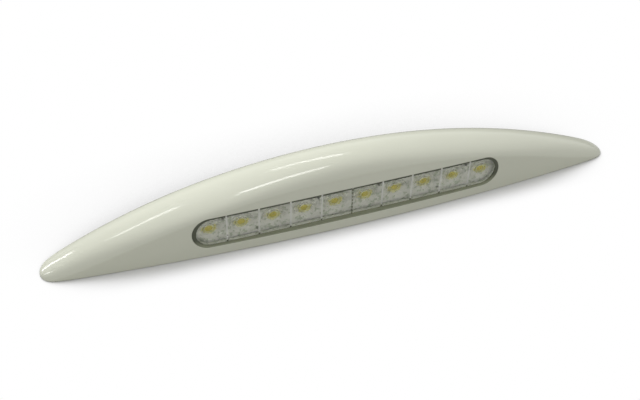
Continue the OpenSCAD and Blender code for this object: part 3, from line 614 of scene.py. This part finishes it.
def led_bodies():
    """The moulded package of each LED, a square body with a raised rim round its pool of phosphor."""
    row = Row("led_bodies")
    side, rise = row.size("Side", LED_SIZE * MM), row.size("Rise", LED_HEIGHT * 0.7 * MM)
    across = row.size("Pool across", LED_DOME * MM)
    half = row.node("ShaderNodeMath", {0: rise, 1: -0.5}, operation="MULTIPLY")
    block = row.node("GeometryNodeMeshCube", {"Size": row.vector(side, rise, side)})
    block = row.node("GeometryNodeTransform", {"Geometry": block, "Translation": row.vector(0.0, half, 0.0)})
    outer = row.node("ShaderNodeMath", {0: across, 1: 0.53}, operation="MULTIPLY")
    circle = row.node("GeometryNodeCurvePrimitiveCircle", {"Resolution": 40, "Radius": outer})
    bead = row.node("GeometryNodeCurvePrimitiveCircle", {"Resolution": 10, "Radius": 0.16 * MM})
    rim = row.node("GeometryNodeCurveToMesh", {"Curve": circle, "Profile Curve": bead})
    front = row.node("ShaderNodeMath", {0: rise, 1: -1.0}, operation="MULTIPLY")
    rim = row.node("GeometryNodeTransform", {
        "Geometry": rim, "Translation": row.vector(0.0, front, 0.0), "Rotation": (math.pi / 2, 0.0, 0.0),
    })
    join = row.tree.nodes.new("GeometryNodeJoinGeometry")
    row.tree.links.new(block, join.inputs[0])
    row.tree.links.new(rim, join.inputs[0])
    return row.along_cells(join.outputs[0], LED_BODY, False)


def led_phosphor():
    """The domed pool of phosphor in each LED."""
    row = Row("led_phosphor_pools")
    across = row.size("Pool across", LED_DOME * MM)
    rise = row.size("Rise", LED_HEIGHT * 0.3 * MM)
    body = row.size("Body", LED_HEIGHT * 0.7 * MM)
    radius = row.node("ShaderNodeMath", {0: across, 1: 0.5}, operation="MULTIPLY")
    ball = row.node("GeometryNodeMeshUVSphere", {"Segments": 32, "Rings": 16, "Radius": 1.0})
    low = row.node("ShaderNodeMath", {0: body, 1: -1.0}, operation="MULTIPLY")
    wide = row.node("ShaderNodeMath", {0: radius, 1: 1.14}, operation="MULTIPLY")
    pool = row.node("GeometryNodeTransform", {
        "Geometry": ball, "Translation": row.vector(0.0, low, 0.0), "Scale": row.vector(wide, rise, radius),
    })
    return row.along_cells(pool, FINISHES["led_yellow"], True)


bodies, pools = led_bodies(), led_phosphor()
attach(bodies, "root")
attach(pools, "root")
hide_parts(*[f"led_{i + 1}" for i in range(CELL_COUNT)])


# Floor, lamps and camera
class Paint:
    """Nodes of a material or world that is built from an empty tree."""

    def __init__(self, tree):
        tree.nodes.clear()
        self.tree = tree

    def node(self, kind, inputs=None, **settings):
        return add_node(self.tree, kind, inputs, settings)


SHADOW_REACH = 0.02
PALE_PAPER, DIM_PAPER, DARK_PAPER = (0.9, 0.9, 0.9, 1), (0.56, 0.56, 0.53, 1), (0.22, 0.22, 0.2, 1)


def white_floor():
    """Pale paper: white to the camera but for the shadow close to the lamp, and mirrored darker behind it."""
    r = 3.0
    mesh = bpy.data.meshes.new("floor")
    mesh.from_pydata([(-r, -r, 0), (r, -r, 0), (r, r, 0), (-r, r, 0)], [], [(0, 1, 2, 3)])
    floor = bpy.data.objects.new("floor", mesh)
    bpy.context.scene.collection.objects.link(floor)
    floor.location.z = -0.0002
    material = bpy.data.materials.new("floor_paper")
    material.use_nodes = True
    p = Paint(material.node_tree)
    path = p.node("ShaderNodeLightPath").outputs
    near = p.node("ShaderNodeAmbientOcclusion", {"Distance": SHADOW_REACH}, samples=16).outputs["AO"]
    open_floor = p.node("ShaderNodeMapRange", {
        "Value": near, "From Min": 0.55, "From Max": 0.98, "To Min": 0.0, "To Max": 1.0,
    }, interpolation_type="SMOOTHSTEP").outputs[0]
    wide = p.node("ShaderNodeAmbientOcclusion", {"Distance": 3.5 * SHADOW_REACH}, samples=16).outputs["AO"]
    place = p.node("ShaderNodeTexCoord").outputs["Object"]
    behind = p.node("ShaderNodeMapRange", {
        "Value": p.node("ShaderNodeSeparateXYZ", {0: place}).outputs[1], "From Min": -0.01, "From Max": 0.02,
    }).outputs[0]
    closed = p.node("ShaderNodeMath", {0: 1.0, 1: wide}, operation="SUBTRACT").outputs[0]
    squared = p.node("ShaderNodeMath", {0: closed, 1: closed}, operation="MULTIPLY").outputs[0]
    shade = p.node("ShaderNodeMath", {0: squared, 1: behind}, operation="MULTIPLY").outputs[0]
    level = p.node("ShaderNodeMapRange", {
        "Value": shade, "From Max": 0.03, "To Min": 1.0, "To Max": 0.6,
    }).outputs[0]
    white = p.node("ShaderNodeEmission", {"Strength": level}).outputs[0]
    pale = p.node("ShaderNodeBsdfDiffuse", {"Color": PALE_PAPER}).outputs[0]
    dim = p.node("ShaderNodeBsdfDiffuse", {"Color": DIM_PAPER}).outputs[0]
    seen = p.node("ShaderNodeMixShader", {0: open_floor, 1: pale, 2: white}).outputs[0]
    mirrored = p.node("ShaderNodeMath", {0: path["Is Glossy Ray"], 1: path["Is Transmission Ray"]},
                      operation="MAXIMUM").outputs[0]
    dark = p.node("ShaderNodeBsdfDiffuse", {"Color": DARK_PAPER}).outputs[0]
    reflected = p.node("ShaderNodeMixShader", {0: behind, 1: pale, 2: dark}).outputs[0]
    lit = p.node("ShaderNodeMixShader", {0: mirrored, 1: dim, 2: reflected}).outputs[0]
    surface = p.node("ShaderNodeMixShader", {0: path["Is Camera Ray"], 1: lit, 2: seen}).outputs[0]
    p.node("ShaderNodeOutputMaterial", {"Surface": surface})
    mesh.materials.append(material)


def studio_world(level):
    """Even soft light from all round, and plain white where the camera or the lens sees past the floor."""
    world = bpy.data.worlds.new("studio")
    bpy.context.scene.world = world
    world.use_nodes = True
    p = Paint(world.node_tree)
    path = p.node("ShaderNodeLightPath").outputs
    seen = p.node("ShaderNodeMath", {0: path["Is Camera Ray"], 1: path["Is Transmission Ray"]},
                  operation="MAXIMUM").outputs[0]
    strength = p.node("ShaderNodeMapRange", {"Value": seen, "To Min": level, "To Max": 1.0}).outputs[0]
    shade = p.node("ShaderNodeBackground", {"Color": (1, 1, 1, 1), "Strength": strength}).outputs[0]
    p.node("ShaderNodeOutputWorld", {"Surface": shade})


LAMP_AIM = (0, 0, 0.03)


def lamp(name, start, end, width, level, gloss):
    """An area lamp from start to end that faces the part, for soft light or only a streak on the gloss."""
    a, b = Vector(start), Vector(end)
    data = bpy.data.lights.new(name, "AREA")
    data.shape = "RECTANGLE"
    data.size, data.size_y = (b - a).length, width
    data.energy = 4 * data.size * data.size_y * level
    obj = bpy.data.objects.new(name, data)
    along_axis = (b - a).normalized()
    away = (a + b) / 2 - Vector(LAMP_AIM)
    away = (away - along_axis * away.dot(along_axis)).normalized()
    turn = Matrix((along_axis, away.cross(along_axis), away)).transposed().to_4x4()
    obj.matrix_world = Matrix.Translation((a + b) / 2) @ turn
    obj.visible_glossy = gloss
    obj.visible_diffuse = not gloss
    bpy.context.scene.collection.objects.link(obj)


def photo_camera():
    data = bpy.data.cameras.new("camera")
    data.sensor_width = 36.0
    data.lens = 56.25
    camera = bpy.data.objects.new("camera", data)
    camera.location = (-0.188509, -0.448799, 0.422555)
    camera.rotation_euler = tuple(math.radians(a) for a in (48.85724, -1.44757, -20.22253))
    bpy.context.scene.collection.objects.link(camera)
    bpy.context.scene.camera = camera


white_floor()
studio_world(0.59)
lamp("soft_box", (-0.215, 0.43, 0.33), (0.035, 0.43, 0.33), 0.25, 8.0, gloss=False)
STREAKS = {
    "streak_low": ((-0.127, 0.550, 1.205), (0.287, 0.438, 1.222), 0.10, 6.5),
    "streak_high": ((0.085, 1.015, 0.834), (0.397, 0.910, 0.872), 0.06, 4.8),
    "streak_left": ((-0.625, 0.827, 0.889), (-0.331, 0.951, 0.877), 0.07, 4.8),
    "streak_nose": ((-0.954, 1.019, 0.226), (-0.654, 1.089, 0.515), 0.09, 6.0),
    "spark_nose": ((-1.122, 0.700, 0.558), (-1.043, 0.525, 0.817), 0.15, 4.0),
}
for name, (start, end, width, level) in STREAKS.items():
    lamp(name, start, end, width, level, gloss=True)
photo_camera()
bpy.context.scene.view_settings.view_transform = "Standard"
